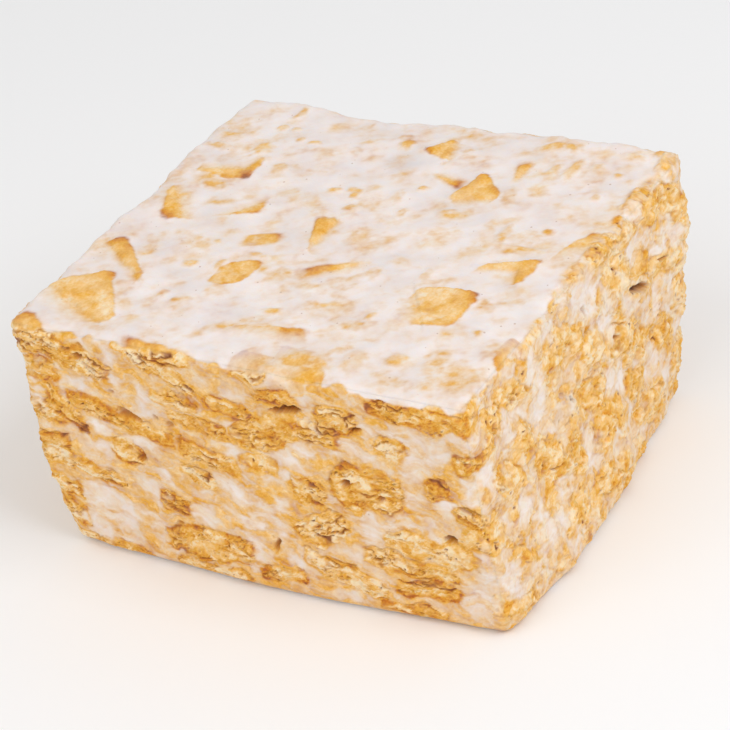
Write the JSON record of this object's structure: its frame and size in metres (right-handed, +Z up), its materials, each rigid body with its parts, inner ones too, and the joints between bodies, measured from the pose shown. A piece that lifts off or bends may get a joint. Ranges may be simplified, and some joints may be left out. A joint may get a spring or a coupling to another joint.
{
  "type": "marshmallow cereal treat square",
  "caption": "Hand-cut block of toasted cereal squares bound in marshmallow, with a smooth filmed top and layered, flaky cut sides, resting on a flat foot.",
  "frame": {"origin": "middle of the outline on the flat foot, on the surface that the treat rests on", "axes": "+Z up out of the filmed top, +X towards the right cut, -Y towards the front cut"},
  "size_m": [0.0821, 0.074, 0.0437],
  "materials": {
    "marshmallow_cereal": "golden toasted cereal under pinkish white marshmallow; sticky satin film on top, dry and crumbly on the cuts"
  },
  "bodies": {
    "root": {"cereal_treat": "marshmallow_cereal"}
  },
  "joints": []
}
